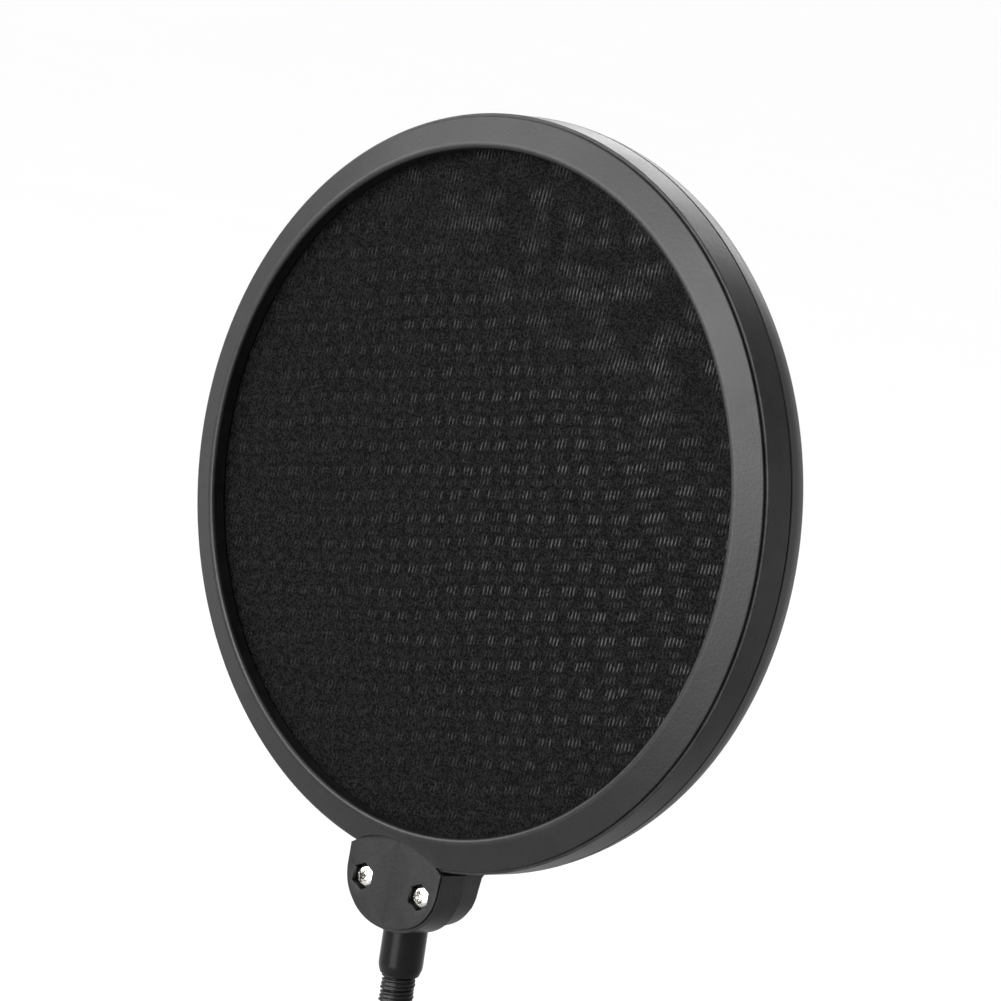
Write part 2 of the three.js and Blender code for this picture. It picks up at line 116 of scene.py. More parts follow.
# The clamp's heights are in mm above the face of the fixed jaw's rubber pad.
ROD_RADIUS, ROD_FOOT, ROD_NECK = 4.0, -118.0, -42.0
INSERT_LOW, INSERT_FLANGE, INSERT_TOP = -74, -61.7, -60.2

# The camera's angles are in degrees; its lens, distance and offsets from the rim's centre in mm.
VIEW_AZIMUTH_ELEVATION_ROLL = [40.67, 7.87, 11.44]
VIEW_RIGHT, VIEW_DOWN, VIEW_DISTANCE = 6.394, 1.436, 1281.92
VIEW_LENS = 226.14
FLOOR_PAINTED_SHADE = 0.4  # share of the floor's paint kept in the painted shade below the part
FLOOR_FADE = 1.2, 3.3  # metres over which the painted shade gives way to the full paint


# ------------------------------------------------------------------ settings
def size(name, description, default):
    return FloatProperty(name=name, description=description + ", in mm", default=default, min=0.0)


def colour(name, description, default):
    return FloatVectorProperty(
        name=name, description=description, default=default, subtype="COLOR", min=0.0, max=1.0)


def count(name, description, default):
    return IntProperty(name=name, description=description, default=default, min=3)


class PopFilterHeadSettings(PropertyGroup):
    lip_inner: size("Lip inner radius", "Radius of the opening", 70.3)
    lip_crest: size("Lip crest radius", "Radius of the highest line of the lip", 71.5)
    rim_radius: size("Rim radius", "Outer edge of the conical face", RIM_RADIUS)
    band_radius: size("Band radius", "Radius of the side wall", BAND_RADIUS)
    lip_depth: size("Lip depth", "Crest of the lip from the middle plane", 9.4)
    rim_depth: size("Rim depth", "Outer edge of the face from the middle plane", PLATE_FRONT)
    split: size("Split", "Parting line of the side wall, behind the middle plane", 0.9)
    arc_centre: size("Arc centre", "Centre of the boss's sunken arc, below the head's centre", 94.8)
    arc_radius: size("Arc radius", "Radius of the boss's sunken arc", 21.7)
    columns: count("Columns", "Steps round each ring", 480)


class PopFilterMeshSettings(PropertyGroup):
    wale_pitch: size("Wale pitch", "Spacing of the knit's columns", 0.93)
    columns: count("Columns", "Steps round each disc", 180)


class PopFilterNeckSettings(PropertyGroup):
    radius: size("Neck radius", "Outer radius of the spiral tube", 3.65)
    bore: size("Neck bore", "Radius of the hole through it", 1.7)
    pitch: size("Coil pitch", "Advance of the spiral in each turn", 2.65)
    row_step: size("Row step", "Spacing of the mesh rows along the neck", 0.13)
    columns: count("Columns", "Steps round the neck", 40)


class PopFilterClampSettings(PropertyGroup):
    thread_pitch: size("Thread pitch", "Advance of the clamp screw each turn", 2.0)
    thread_depth: size("Thread depth", "Depth of the clamp screw's thread", 0.8)
    width: size("Frame width", "Width of the clamp frame", 18.0)
    lobes: count("Knob lobes", "Finger lobes of the knob", 7)
    columns: count("Columns", "Steps round turned pieces", 96)


class PopFilterFinishSettings(PropertyGroup):
    plastic: colour("Plastic", "Moulded black plastic", (0.003, 0.003, 0.0031))
    nylon: colour("Nylon", "Knitted mesh", (0.0025, 0.0024, 0.0024))
    enamel: colour("Enamel", "Black finish of the neck and ferrules", (0.002, 0.002, 0.002))
    nickel: colour("Nickel", "Bright screws and nuts", (0.5, 0.49, 0.475))
    brass: colour("Brass", "Threaded insert", (0.60, 0.42, 0.18))
    rubber: colour("Rubber", "Jaw faces", (0.016, 0.016, 0.017))


class PopFilterStageSettings(PropertyGroup):
    floor: colour("Floor", "Pale studio floor", (0.9, 0.9, 0.9))
    floor_drop: FloatProperty(
        name="Floor drop", description="Floor below the knob", default=0.22, unit="LENGTH")
    key: FloatProperty(name="Key", description="Brightness of the wide panel on the left", default=8.8)
    fill: FloatProperty(name="Fill", description="Brightness of the front panel", default=6.8)
    back: FloatProperty(name="Back", description="Brightness of the panel high behind", default=5.5)
    top: FloatProperty(name="Top", description="Strength of the light from straight above", default=1.65)
    side: FloatProperty(name="Side", description="Brightness of the rear panel", default=0.3)
    horizon: FloatProperty(name="Horizon", description="Surround at eye level", default=0.98)
    zenith: FloatProperty(name="Zenith", description="Surround overhead", default=0.55)


# ------------------------------------------------------------------ surfaces
def rounded(corners, radii, steps=4):
    """Softens closed outlines, given as an array whose last two axes are corner and coordinate. Each
    corner P becomes the parabola P + (1-t)^2 A + t^2 B, where A and B reach towards the corners before
    and after it by the radius, or by 0.45 of the way there where that is shorter."""
    corners = np.asarray(corners, float)
    radii = np.broadcast_to(np.asarray(radii, float), corners.shape[:-1])[..., None]
    before = np.roll(corners, 1, axis=-2) - corners
    after = np.roll(corners, -1, axis=-2) - corners
    size_before = np.linalg.norm(before, axis=-1, keepdims=True) + 1e-12
    size_after = np.linalg.norm(after, axis=-1, keepdims=True) + 1e-12
    before *= np.minimum(radii, 0.45 * size_before) / size_before
    after *= np.minimum(radii, 0.45 * size_after) / size_after
    t = np.linspace(0, 1, steps)[:, None]
    curves = (corners[..., None, :] + (1 - t) ** 2 * before[..., None, :]
              + t**2 * after[..., None, :])
    return curves.reshape(*corners.shape[:-2], -1, corners.shape[-1])


def grid(rows, columns, wrap_rows=True, wrap_columns=True, keep=None):
    """Quads of a grid whose vertex (row, column) has the number row * columns + column. keep says, by
    row and column, which quads are made."""
    row = np.arange(rows if wrap_rows else rows - 1)[:, None]
    column = np.arange(columns if wrap_columns else columns - 1)[None, :]
    next_row, next_column = (row + 1) % rows, (column + 1) % columns
    quads = np.stack([
        row * columns + column, row * columns + next_column,
        next_row * columns + next_column, next_row * columns + column], axis=-1)
    return quads[keep] if keep is not None else quads.reshape(-1, 4)


def angles(columns):
    """Angles of the columns round a piece, in radians, from 0 to just short of a turn."""
    return TURN * np.arange(columns) / columns


def around(radius, angle, height):
    """Points (r cos a, r sin a, h) for a radius, an angle and a height of any shapes that fit."""
    return np.stack(np.broadcast_arrays(radius * np.cos(angle), radius * np.sin(angle), height), axis=-1)


def along_angles(angle, *corners):
    """One row of (radius, depth) for each corner and angle, where a corner may be fixed or vary."""
    return [np.stack(np.broadcast_arrays(radius + 0 * angle, depth + 0 * angle), axis=-1)
            for radius, depth in corners]


def turned(profile, columns, wrap=True):
    """A surface of revolution: (r cos a, r sin a, h) for each (r, h) of the profile and each angle a.
    The profile may also hold one closed outline for every angle."""
    radius, height = np.moveaxis(np.asarray(profile, float), -1, 0)
    if radius.ndim == 1:
        radius, height = radius[None], height[None]
    points = around(radius, angles(columns)[:, None], height)
    rows = points.shape[1]
    return points.transpose(1, 0, 2).reshape(-1, 3), grid(rows, columns, wrap_rows=wrap)


def solid_of_revolution(profile, radii, columns, steps=4):
    """A turned piece whose outline starts and ends on the axis, with its corners softened."""
    outline = np.asarray(profile, float)
    soft = rounded(outline, radii, steps).reshape(len(outline), steps, 2)
    soft[0], soft[-1] = outline[0], outline[-1]
    return turned(soft.reshape(-1, 2), columns, wrap=False)


def in_head(points):
    """From the head's own axes (right, up, towards the front) in mm to the row frame in metres."""
    x, up, depth = np.moveaxis(np.asarray(points, float), -1, 0) * MM
    return np.stack([HEAD[0] + x, HEAD[1] - depth, HEAD[2] + up], axis=-1)


def on_neck(points):
    """From (across, over, along) the neck in mm to the row frame in metres. The centre line is an arc in
    the YZ plane that leaves the clamp upright; at length s it is turned by s / NECK_ARC about X."""
    across, over, along = np.moveaxis(np.asarray(points, float), -1, 0)
    angle = along / NECK_ARC
    return MM * np.stack([
        across,
        over * np.cos(angle) - NECK_ARC * (1 - np.cos(angle)),
        NECK_BASE + NECK_ARC * np.sin(angle) + over * np.sin(angle)], axis=-1)


def past_neck(points):
    """As on_neck, but straight on from the neck's end, for pieces that don't bend."""
    across, over, along = np.moveaxis(np.asarray(points, float), -1, 0)
    lean = NECK_LENGTH / NECK_ARC
    end = on_neck([0, 0, NECK_LENGTH]) / MM
    return MM * np.stack([
        end[0] + across,
        end[1] - along * np.sin(lean) + over * np.cos(lean),
        end[2] + along * np.cos(lean) + over * np.sin(lean)], axis=-1)


def upright(points):
    """From mm to metres, in the row frame's own axes."""
    return np.asarray(points, float) * MM


def sideways(points):
    """Turns a piece made along +Z so that it lies along -Y."""
    x, y, z = np.moveaxis(np.asarray(points, float), -1, 0)
    return np.stack([x, -z, y], axis=-1)


def edge_wear(mesh):
    """For each vertex, how far it stands out of its neighbours' mean along its normal, as a share of
    the mean edge: above 0 on outward edges, 0 on flats and in hollows."""
    total = len(mesh.vertices)
    points = np.empty(total * 3, np.float32)
    normals = np.empty(total * 3, np.float32)
    edges = np.empty(len(mesh.edges) * 2, np.int32)
    mesh.vertices.foreach_get("co", points)
    mesh.vertices.foreach_get("normal", normals)
    mesh.edges.foreach_get("vertices", edges)
    points, normals, edges = points.reshape(-1, 3), normals.reshape(-1, 3), edges.reshape(-1, 2)
    step = points[edges[:, 1]] - points[edges[:, 0]]
    reach = np.linalg.norm(step, axis=1)
    ends, ways = np.concatenate([edges[:, 0], edges[:, 1]]), np.concatenate([step, -step])
    outward = -(ways * normals[ends]).sum(1) / np.maximum(np.tile(reach, 2), 1e-9)
    sums = np.bincount(ends, outward, total)
    counts = np.bincount(ends, minlength=total)
    return np.clip(2.2 * sums / np.maximum(counts, 1), 0, 1).astype(np.float32)


def piece(name, shells, material, slot, body=None, stands_for=(), sharp=32.0, clean=True):
    """One mesh object of several closed shells, each (points in metres, quads). Doubled vertices are
    merged, faces turned outwards and shaded smooth up to the sharp angle in degrees."""
    offsets = np.cumsum([0] + [len(points) for points, _ in shells[:-1]])
    points = np.concatenate([points for points, _ in shells])
    faces = [face for (_, quads), start in zip(shells, offsets) for face in shifted(quads, start)]
    mesh = bpy.data.meshes.new(name)
    mesh.from_pydata(points, [], faces)
    mesh.validate()
    work = bmesh.new()
    work.from_mesh(mesh)
    if clean:
        bmesh.ops.remove_doubles(work, verts=work.verts, dist=1.5e-6)
        bmesh.ops.dissolve_degenerate(work, edges=work.edges, dist=1e-7)
    bmesh.ops.recalc_face_normals(work, faces=work.faces)
    work.to_mesh(mesh)
    work.free()
    mesh.polygons.foreach_set("use_smooth", np.ones(len(mesh.polygons), bool))
    mesh.set_sharp_from_angle(angle=np.radians(sharp))
    wear = mesh.attributes.new("wear", "FLOAT", "POINT")
    wear.data.foreach_set("value", edge_wear(mesh))
    mesh.materials.append(material)
    made = bpy.data.objects.new(name, mesh)
    bpy.context.scene.collection.objects.link(made)
    if body:
        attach(made, body)
    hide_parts(*stands_for)
    return made


def shifted(faces, start):
    """Faces with their vertex numbers moved on by start, as lists."""
    if isinstance(faces, np.ndarray):
        return (faces + start).tolist()
    return [[number + start for number in face] for face in faces]


# ------------------------------------------------------------------ finishes
class Finish:
    """A node material under construction."""

    def __init__(self, name):
        self.material = bpy.data.materials.new(name)
        self.material.use_nodes = True
        self.tree = self.material.node_tree
        self.tree.nodes.clear()

    def add(self, kind, inputs=None, **settings):
        """Adds a node, sets its properties, and gives each input a value or a link."""
        node = self.tree.nodes.new("ShaderNode" + kind)
        for key, value in settings.items():
            setattr(node, key, value)
        for key, value in (inputs or {}).items():
            if isinstance(value, bpy.types.NodeSocket):
                self.tree.links.new(value, node.inputs[key])
            else:
                node.inputs[key].default_value = value
        return node

    def math(self, operation, first, second=0.0, third=0.0):
        return self.add("Math", {0: first, 1: second, 2: third}, operation=operation).outputs[0]

    def noise(self, where, scale, detail=2.0, roughness=0.5):
        made = self.add("TexNoise", {
            "Vector": where, "Scale": scale, "Detail": detail, "Roughness": roughness})
        return made.outputs["Fac"]

    def span(self, value, low, high, to_low=0.0, to_high=1.0, kind="SMOOTHSTEP"):
        """Maps low to to_low and high to to_high, with an S-curve between unless kind is LINEAR."""
        made = self.add("MapRange", {
            "Value": value, "From Min": low, "From Max": high,
            "To Min": to_low, "To Max": to_high}, interpolation_type=kind)
        return made.outputs["Result"]

    def mix(self, factor, first, second):
        made = self.add("Mix", data_type="RGBA")
        self.tree.links.new(factor, made.inputs[0])
        for socket, value in ((made.inputs[6], first), (made.inputs[7], second)):
            if isinstance(value, bpy.types.NodeSocket):
                self.tree.links.new(value, socket)
            else:
                socket.default_value = (*value, 1)
        return made.outputs[2]

    def bump(self, height, strength, distance):
        made = self.add("Bump", {"Height": height, "Strength": strength, "Distance": distance})
        return made.outputs["Normal"]

    def surface(self, **inputs):
        """Ends the material with a principled shader that has these inputs."""
        shader = self.add("BsdfPrincipled", inputs)
        self.add("OutputMaterial", {"Surface": shader.outputs[0]})
        return self.material


def lighter(tint, factor):
    """Each part of a colour times the factor, up to 1."""
    return tuple(min(1.0, part * factor) for part in tint)


def plastic_finish(tint):
    """Moulded plastic: a fine leathery grain, broad patches of higher gloss, faint dust, and outward
    edges made lighter and smoother, partly as wear and partly as a painted highlight along them."""
    made = Finish("Moulded black plastic")
    where = made.add("TexCoord").outputs["Object"]
    patches = made.noise(where, 55.0, 3.0)
    grain = made.noise(where, 1700.0, 3.0, 0.62)
    pores = made.add("TexVoronoi", {"Vector": where, "Scale": 1250.0}).outputs["Distance"]
    dust = made.span(made.noise(where, 3200.0, 1.0), 0.66, 0.8)
    wear = made.add("Attribute", attribute_name="wear").outputs["Fac"]
    edge_lightening = made.math("MULTIPLY", wear, made.span(made.noise(where, 260.0), 0.35, 0.65, 0.35, 1.0))
    shade = made.mix(patches, lighter(tint, 0.85), lighter(tint, 1.2))
    shade = made.mix(made.math("MULTIPLY", dust, 0.06), shade, (0.08, 0.08, 0.08))
    # painted highlight: outward edges are lifted towards twenty times the tint, partly wear and partly a
    # painted highlight along the lip and the plate edges
    shade = made.mix(made.math("MULTIPLY", edge_lightening, 0.6), shade, lighter(tint, 20.0))
    rough = made.math("ADD", made.span(patches, 0.3, 0.7, 0.33, 0.40, "LINEAR"),
                      made.math("MULTIPLY", grain, 0.06))
    rough = made.math("SUBTRACT", rough, made.math("MULTIPLY", edge_lightening, 0.08))
    relief = made.math("ADD", made.math("MULTIPLY", pores, 0.55), grain)
    return made.surface(**{
        "Base Color": shade, "Roughness": rough, "Specular IOR Level": 0.2,
        "Normal": made.bump(relief, 0.22, 0.00012)})


def enamel_finish(tint):
    """Black-finished steel: deep gloss, slightly uneven, with the metal brighter on worn crests."""
    made = Finish("Black-finished steel")
    where = made.add("TexCoord").outputs["Object"]
    cloud = made.noise(where, 120.0, 3.0)
    fine = made.noise(where, 2600.0, 2.0)
    wear = made.add("Attribute", attribute_name="wear").outputs["Fac"]
    edge_lightening = made.math("MULTIPLY", wear, made.span(cloud, 0.3, 0.7, 0.2, 1.0))
    shade = made.mix(cloud, lighter(tint, 0.8), lighter(tint, 1.3))
    shade = made.mix(made.math("MULTIPLY", edge_lightening, 0.25), shade, (0.09, 0.09, 0.092))
    rough = made.math("ADD", made.span(cloud, 0.3, 0.7, 0.2, 0.28, "LINEAR"),
                      made.math("MULTIPLY", fine, 0.05))
    return made.surface(**{
        "Base Color": shade, "Roughness": rough, "Specular IOR Level": 0.12,
        "Normal": made.bump(fine, 0.12, 0.00003)})


def metal_finish(name, tint, low, high, scratch=2200.0):
    """Bare metal: turned-surface streaks, faint tarnish in patches and brighter edges."""
    made = Finish(name)
    where = made.add("TexCoord").outputs["Object"]
    tarnish = made.noise(where, 420.0, 4.0)
    streaks = made.noise(where, scratch, 2.0, 0.7)
    wear = made.add("Attribute", attribute_name="wear").outputs["Fac"]
    shade = made.mix(made.span(tarnish, 0.35, 0.7), tint, lighter(tint, 0.72))
    shade = made.mix(made.math("MULTIPLY", wear, 0.4), shade, lighter(tint, 1.25))
    rough = made.span(made.math("ADD", tarnish, made.math("MULTIPLY", streaks, 0.4)),
                      0.4, 1.0, low, high, "LINEAR")
    return made.surface(**{
        "Base Color": shade, "Metallic": 1.0, "Roughness": rough,
        "Normal": made.bump(streaks, 0.08, 0.00003)})


def rubber_finish(tint):
    """Matt rubber: fine bloom, soft mottling and a pebbled skin."""
    made = Finish("Black rubber")
    where = made.add("TexCoord").outputs["Object"]
    bloom = made.noise(where, 180.0, 4.0)
    skin = made.noise(where, 2400.0, 3.0, 0.6)
    shade = made.mix(bloom, lighter(tint, 0.8), lighter(tint, 1.9))
    rough = made.span(bloom, 0.3, 0.7, 0.72, 0.86, "LINEAR")
    return made.surface(**{
        "Base Color": shade, "Roughness": rough, "Specular IOR Level": 0.3,
        "Normal": made.bump(skin, 0.4, 0.0001)})


def knit_finish(tint, wale):
    """Stretched nylon knit in two layers. The light that the layers let through and send back off their
    slanting threads is painted into the colour as bright clusters, set like bricks in rows that climb
    to the right and spread out towards that side, over a fine random grain. Near the top the clusters
    run into long upright streaks; the painted light fades towards the left and the bottom."""
    made = Finish("Knitted nylon mesh")
    where = made.add("TexCoord").outputs["Object"]
    axes = made.add("SeparateXYZ", {"Vector": where})
    x = made.math("MULTIPLY_ADD", axes.outputs["X"], 1 / MM, -HEAD[0] / MM)
    z = made.math("MULTIPLY_ADD", axes.outputs["Z"], 1 / MM, -HEAD[2] / MM)
    drift = made.math("SUBTRACT", made.noise(where, 45.0, 2.0), 0.5)

    def waves(value, period, shift=0.0):
        """cos(2 pi value / period + shift)."""
        return made.math("COSINE", made.math("MULTIPLY_ADD", value, TURN / period, shift))

    u = made.math("MULTIPLY_ADD", drift, 2.2, made.math("MULTIPLY_ADD", z, -0.05, x))
    thread = made.span(waves(u, wale), 0.15, 0.95)
    right = made.math("MAXIMUM", x, 0.0)
    column = made.math("MULTIPLY_ADD", made.math("MULTIPLY", right, right), -0.00105,
                       made.math("MULTIPLY_ADD", drift, 1.5, made.math("MULTIPLY", x, 0.227)))
    row = made.math("MULTIPLY_ADD", x, -0.247, made.math("MULTIPLY_ADD", drift, 3.4, z))

    def bricks(shift, low, high):
        """Clusters in rows 5.15 mm apart, each row moved on by 0.43 of a cluster from the one below."""
        place = made.math("MULTIPLY_ADD", row, 1 / 5.15, shift)
        step = made.math("FLOOR", made.math("ADD", place, 0.5))
        sideways_shift = made.math("MULTIPLY_ADD", step, 0.43, column)
        return made.math("MULTIPLY", made.span(waves(sideways_shift, 1.0), -0.75, 0.5),
                         made.span(waves(place, 1.0), low, high))

    # painted light: bright clusters where the two layers let light through and their threads send it back
    cluster = made.math("MAXIMUM", bricks(0.0, 0.1, 0.9),
                        made.math("MULTIPLY", bricks(0.5, 0.45, 1.0), 0.4))
    streaks = made.math("MULTIPLY", made.span(made.noise(where, 110.0, 2.0), 0.42, 0.66),
                        made.span(waves(row, 5.15), -0.9, 0.8, 0.35, 1.0))
    upper = made.math("MULTIPLY_ADD", x, 0.35, z)
    upper = made.span(upper, 26.0, 54.0)
    cluster = made.math("ADD", made.math("MULTIPLY", cluster, made.math("SUBTRACT", 1.0, upper)),
                        made.math("MULTIPLY", made.math("MULTIPLY", streaks, upper), 1.1))
    breakup = made.span(made.noise(where, 700.0, 3.0, 0.7), 0.38, 0.58, 0.1, 1.0)
    # painted light: the clusters fade towards the left and the bottom
    painted_light_falloff = made.math("MULTIPLY", made.span(x, -62.0, 50.0, 0.22, 1.0),
                      made.span(z, -68.0, -15.0, 0.25, 1.0))
    # painted light: the mask that lifts the colour towards light grey
    bright = made.math("MULTIPLY", made.math("MULTIPLY", thread, cluster),
                       made.math("MULTIPLY", breakup, painted_light_falloff))
    grain = made.noise(where, 2900.0, 2.0, 0.7)
    base = made.mix(made.span(grain, 0.42, 0.6), lighter(tint, 0.3), lighter(tint, 2.3))
    shade = made.mix(bright, base, (0.038, 0.038, 0.038))
    relief = made.math("ADD", made.math("MULTIPLY", thread, 0.7), grain)
    return made.surface(**{
        "Base Color": shade, "Roughness": 0.8, "Specular IOR Level": 0.02,
        "Normal": made.bump(relief, 0.3, 0.00015)})


FINISHES = {}


def make_finishes():
    """Makes each finish once, from the colours in the settings."""
    tints = bpy.context.scene.pop_filter_finish
    knit = bpy.context.scene.pop_filter_mesh
    FINISHES["black_abs"] = plastic_finish(tuple(tints.plastic))
    FINISHES["nylon_mesh"] = knit_finish(tuple(tints.nylon), knit.wale_pitch)
    FINISHES["black_steel"] = enamel_finish(tuple(tints.enamel))
    FINISHES["bright_steel"] = metal_finish("Nickel-plated steel", tuple(tints.nickel), 0.08, 0.2)
    FINISHES["brass"] = metal_finish("Turned brass", tuple(tints.brass), 0.25, 0.42)
    FINISHES["black_rubber"] = rubber_finish(tuple(tints.rubber))


def finished(name, shells, slot, even=True, **words):
    """A piece with the finish of its slot. Where even is true its flats are kept flat in the shading
    where they meet softened edges."""
    made = piece(name, shells, FINISHES[slot], slot, **words)
    if even:
        made.modifiers.new("Even shading", "WEIGHTED_NORMAL").keep_sharp = True
    return made


def lathe(name, node, slot, body, profile, radii, columns, steps=4, place=upright, **words):
    """A turned piece about its own axis that stands for one CAD node."""
    points, quads = solid_of_revolution(profile, radii, columns, steps)
    return finished(name, [(place(points), quads)], slot, body=body, stands_for=[node], **words)


# ------------------------------------------------------------------ operators: head
class PopFilterRings(Operator):
    """Makes the front, middle and rear rings. Each ring is an outline of depth against radius that is
    carried round the head; the front ring's outline dips to the boss's plate where the sunken arc
    crosses its cone."""

    bl_idname = "pop_filter.rings"
    bl_label = "Rings"

    def execute(self, context):
        head = context.scene.pop_filter_head
        angle = angles(head.columns)
        fall = np.cos(angle + TURN / 4) * head.arc_centre
        crossing = np.maximum(fall**2 - head.arc_centre**2 + head.arc_radius**2, 0)
        dip = np.where((fall > 0) & (crossing > 0), fall - np.sqrt(crossing), head.rim_radius)
        dip = np.minimum(dip, head.rim_radius)
        slope = (head.lip_depth - head.rim_depth) / (head.rim_radius - head.lip_crest)
        edge = head.rim_depth + (head.rim_radius - dip) * slope
        rim, lip, inner = head.rim_radius, head.lip_depth, head.lip_inner
        front = np.stack(along_angles(
            angle, (inner, 5.9), (inner, lip - 0.55), (inner + 0.2, lip - 0.2), (inner + 0.55, lip),
            (head.lip_crest, lip), (dip, edge), (dip, 6.9), (rim, 6.82), (rim, PLATE_BACK),
            (75.2, PLATE_BACK), (75.2, 3.0), (73.7, 3.0), (73.7, 5.9)), axis=1)
        soft = np.array([0.2, 0.2, 0.2, 0.2, 0.35, 0.22, 0.05, 0.05, 0.1, 0.1, 0.2, 0.2, 0.1])
        self.ring("front_ring", rounded(front, soft), head.columns)
        band, split = head.band_radius, head.split
        middle_outline = [
            [70.3, -4.7], [73.4, -4.7], [73.4, 0.15 - split], [band, 0.15 - split], [band, 6.4],
            [75.5, 6.4], [75.5, 2.7], [73.4, 2.7], [73.4, 4.7], [70.3, 4.7]]
        soft = [0.15, 0.1, 0.1, 0.3, 0.45, 0.1, 0.1, 0.1, 0.1, 0.15]
        self.ring("middle_ring", rounded(middle_outline, soft), head.columns)
        rear_outline = [
            [70.3, -lip], [71.4, -lip], [76.0, -7.1], [band - 0.5, -3.9], [band, -0.15 - split],
            [73.7, -0.15 - split], [73.7, -5.9], [70.3, -5.9]]
        soft = [0.35, 0.7, 1.4, 1.2, 0.3, 0.1, 0.1, 0.2]
        self.ring("rear_ring", rounded(rear_outline, soft, 6), head.columns)
        return {"FINISHED"}

    def ring(self, node, outline, columns):
        """The outline, of radius against depth, turned about the head's axis."""
        points, quads = turned(outline, columns)
        finished(
            f"{node}_shell", [(in_head(points), quads)], "black_abs", body="head", stands_for=[node])


def boss_outline(half, low, head, arc_steps=240, side_steps=240):
    """The boss's outline from the middle of its top arc, down the right side, to the middle of its
    bottom: an arc, a straight side, and a cubic curve to the bottom."""
    angle = np.linspace(TURN / 4, np.arccos(half / head.arc_radius), arc_steps)
    arc = np.stack([np.cos(angle), np.sin(angle)], axis=-1) * head.arc_radius
    arc[:, 1] -= head.arc_centre
    shoulder = half - 0.1
    guide = np.array([[shoulder, -81.0], [shoulder, low + 4], [0.6 * half, low], [0, low]])
    t = np.linspace(0, 1, side_steps)[:, None]
    curve = ((1 - t) ** 3 * guide[0] + 3 * (1 - t) ** 2 * t * guide[1]
             + 3 * (1 - t) * t**2 * guide[2] + t**3 * guide[3])
    return np.concatenate([arc, curve]), arc_steps


def reach_from(centre, angle, outline):
    """How far a ray at each angle runs from the centre to the outline, and which segment it meets."""
    way = np.stack([np.cos(angle), np.sin(angle)], axis=-1)[:, None]
    start = outline[None, :-1] - centre
    along = outline[None, 1:] - outline[None, :-1]
    cross = way[..., 0] * along[..., 1] - way[..., 1] * along[..., 0]
    cross = np.where(np.abs(cross) < 1e-12, 1e-12, cross)
    distance = (start[..., 0] * along[..., 1] - start[..., 1] * along[..., 0]) / cross
    share = (start[..., 0] * way[..., 1] - start[..., 1] * way[..., 0]) / cross
    hit = (distance > 0) & (share >= -1e-9) & (share <= 1 + 1e-9)
    distance = np.where(hit, distance, 1e9)
    return distance.min(1), distance.argmin(1)


def hexagon(angle, corner):
    """Distance from the centre to the side of a hexagon with a corner straight up."""
    turn = (angle - TURN / 4) % (TURN / 6) - TURN / 12
    return corner * np.cos(TURN / 12) / np.cos(turn)


def boss_block(head, half, low, front, back, holes, taper=0.0, round_front=0.25, round_back=0.25):
    """Both halves of a boss. For each angle about a screw's centre one closed outline runs up the hole,
    over the front face to the boss's edge, down its side, and back over the rear face. holes, given the
    angles, says the (radius, depth) corners of the hole in that order; taper draws the free sides in
    towards the back, in full at the bottom and by three quarters of it above the screws. The halves
    meet where x is 0, and no wall is made there."""
    outline, arc_steps = boss_outline(half, low, head)
    right = np.concatenate([[[0.0, low]], [[0.0, head.arc_radius - head.arc_centre]], outline])
    centre = np.array([SCREW_X, SCREW_UP])
    corners = outline[[0, arc_steps - 1, arc_steps, -1]] - centre
    angle = np.linspace(0, TURN, 180, endpoint=False)
    angle = np.unique(np.concatenate([
        angle, np.arctan2(corners[:, 1], corners[:, 0]) % TURN, TURN / 12 + TURN * np.arange(6) / 6]))
    distance, segment = reach_from(centre, angle, right)
    seam = segment <= 0
    free = segment >= 2 + arc_steps - 1
    soft_front = np.where(free, round_front, 0.02)
    soft_back = np.where(free, round_back, 0.02)
    pull = np.where(free, taper * (0.75 + 0.25 * np.clip(-np.sin(angle), 0, 1)), 0.0)
    spots = along_angles(angle, *holes(angle))
    hole_corners = len(spots)
    spots += [np.stack([distance, 0 * angle + front], axis=-1),
              np.stack([distance - pull, 0 * angle + back], axis=-1)]
    radii = np.concatenate([
        np.full((len(angle), hole_corners), 0.08), soft_front[:, None], soft_back[:, None]], axis=1)
    soft = rounded(np.stack(spots, axis=1), radii)
    x = centre[0] + soft[..., 0] * np.cos(angle)[:, None]
    y = centre[1] + soft[..., 0] * np.sin(angle)[:, None]
    x = np.where(np.abs(x) < 1e-6, 0.0, x)
    points = np.stack([x, y, soft[..., 1]], axis=-1).transpose(1, 0, 2)
    rows, columns = points.shape[:2]
    wall = np.zeros((rows, columns), bool)
    wall[4 * hole_corners : 4 * hole_corners + 7] = seam & np.roll(seam, -1)
    quads = grid(rows, columns, keep=~wall)
    points = points.reshape(-1, 3)
    mirrored = points * [-1, 1, 1]
    return [(in_head(points), quads), (in_head(mirrored), quads[:, ::-1])]


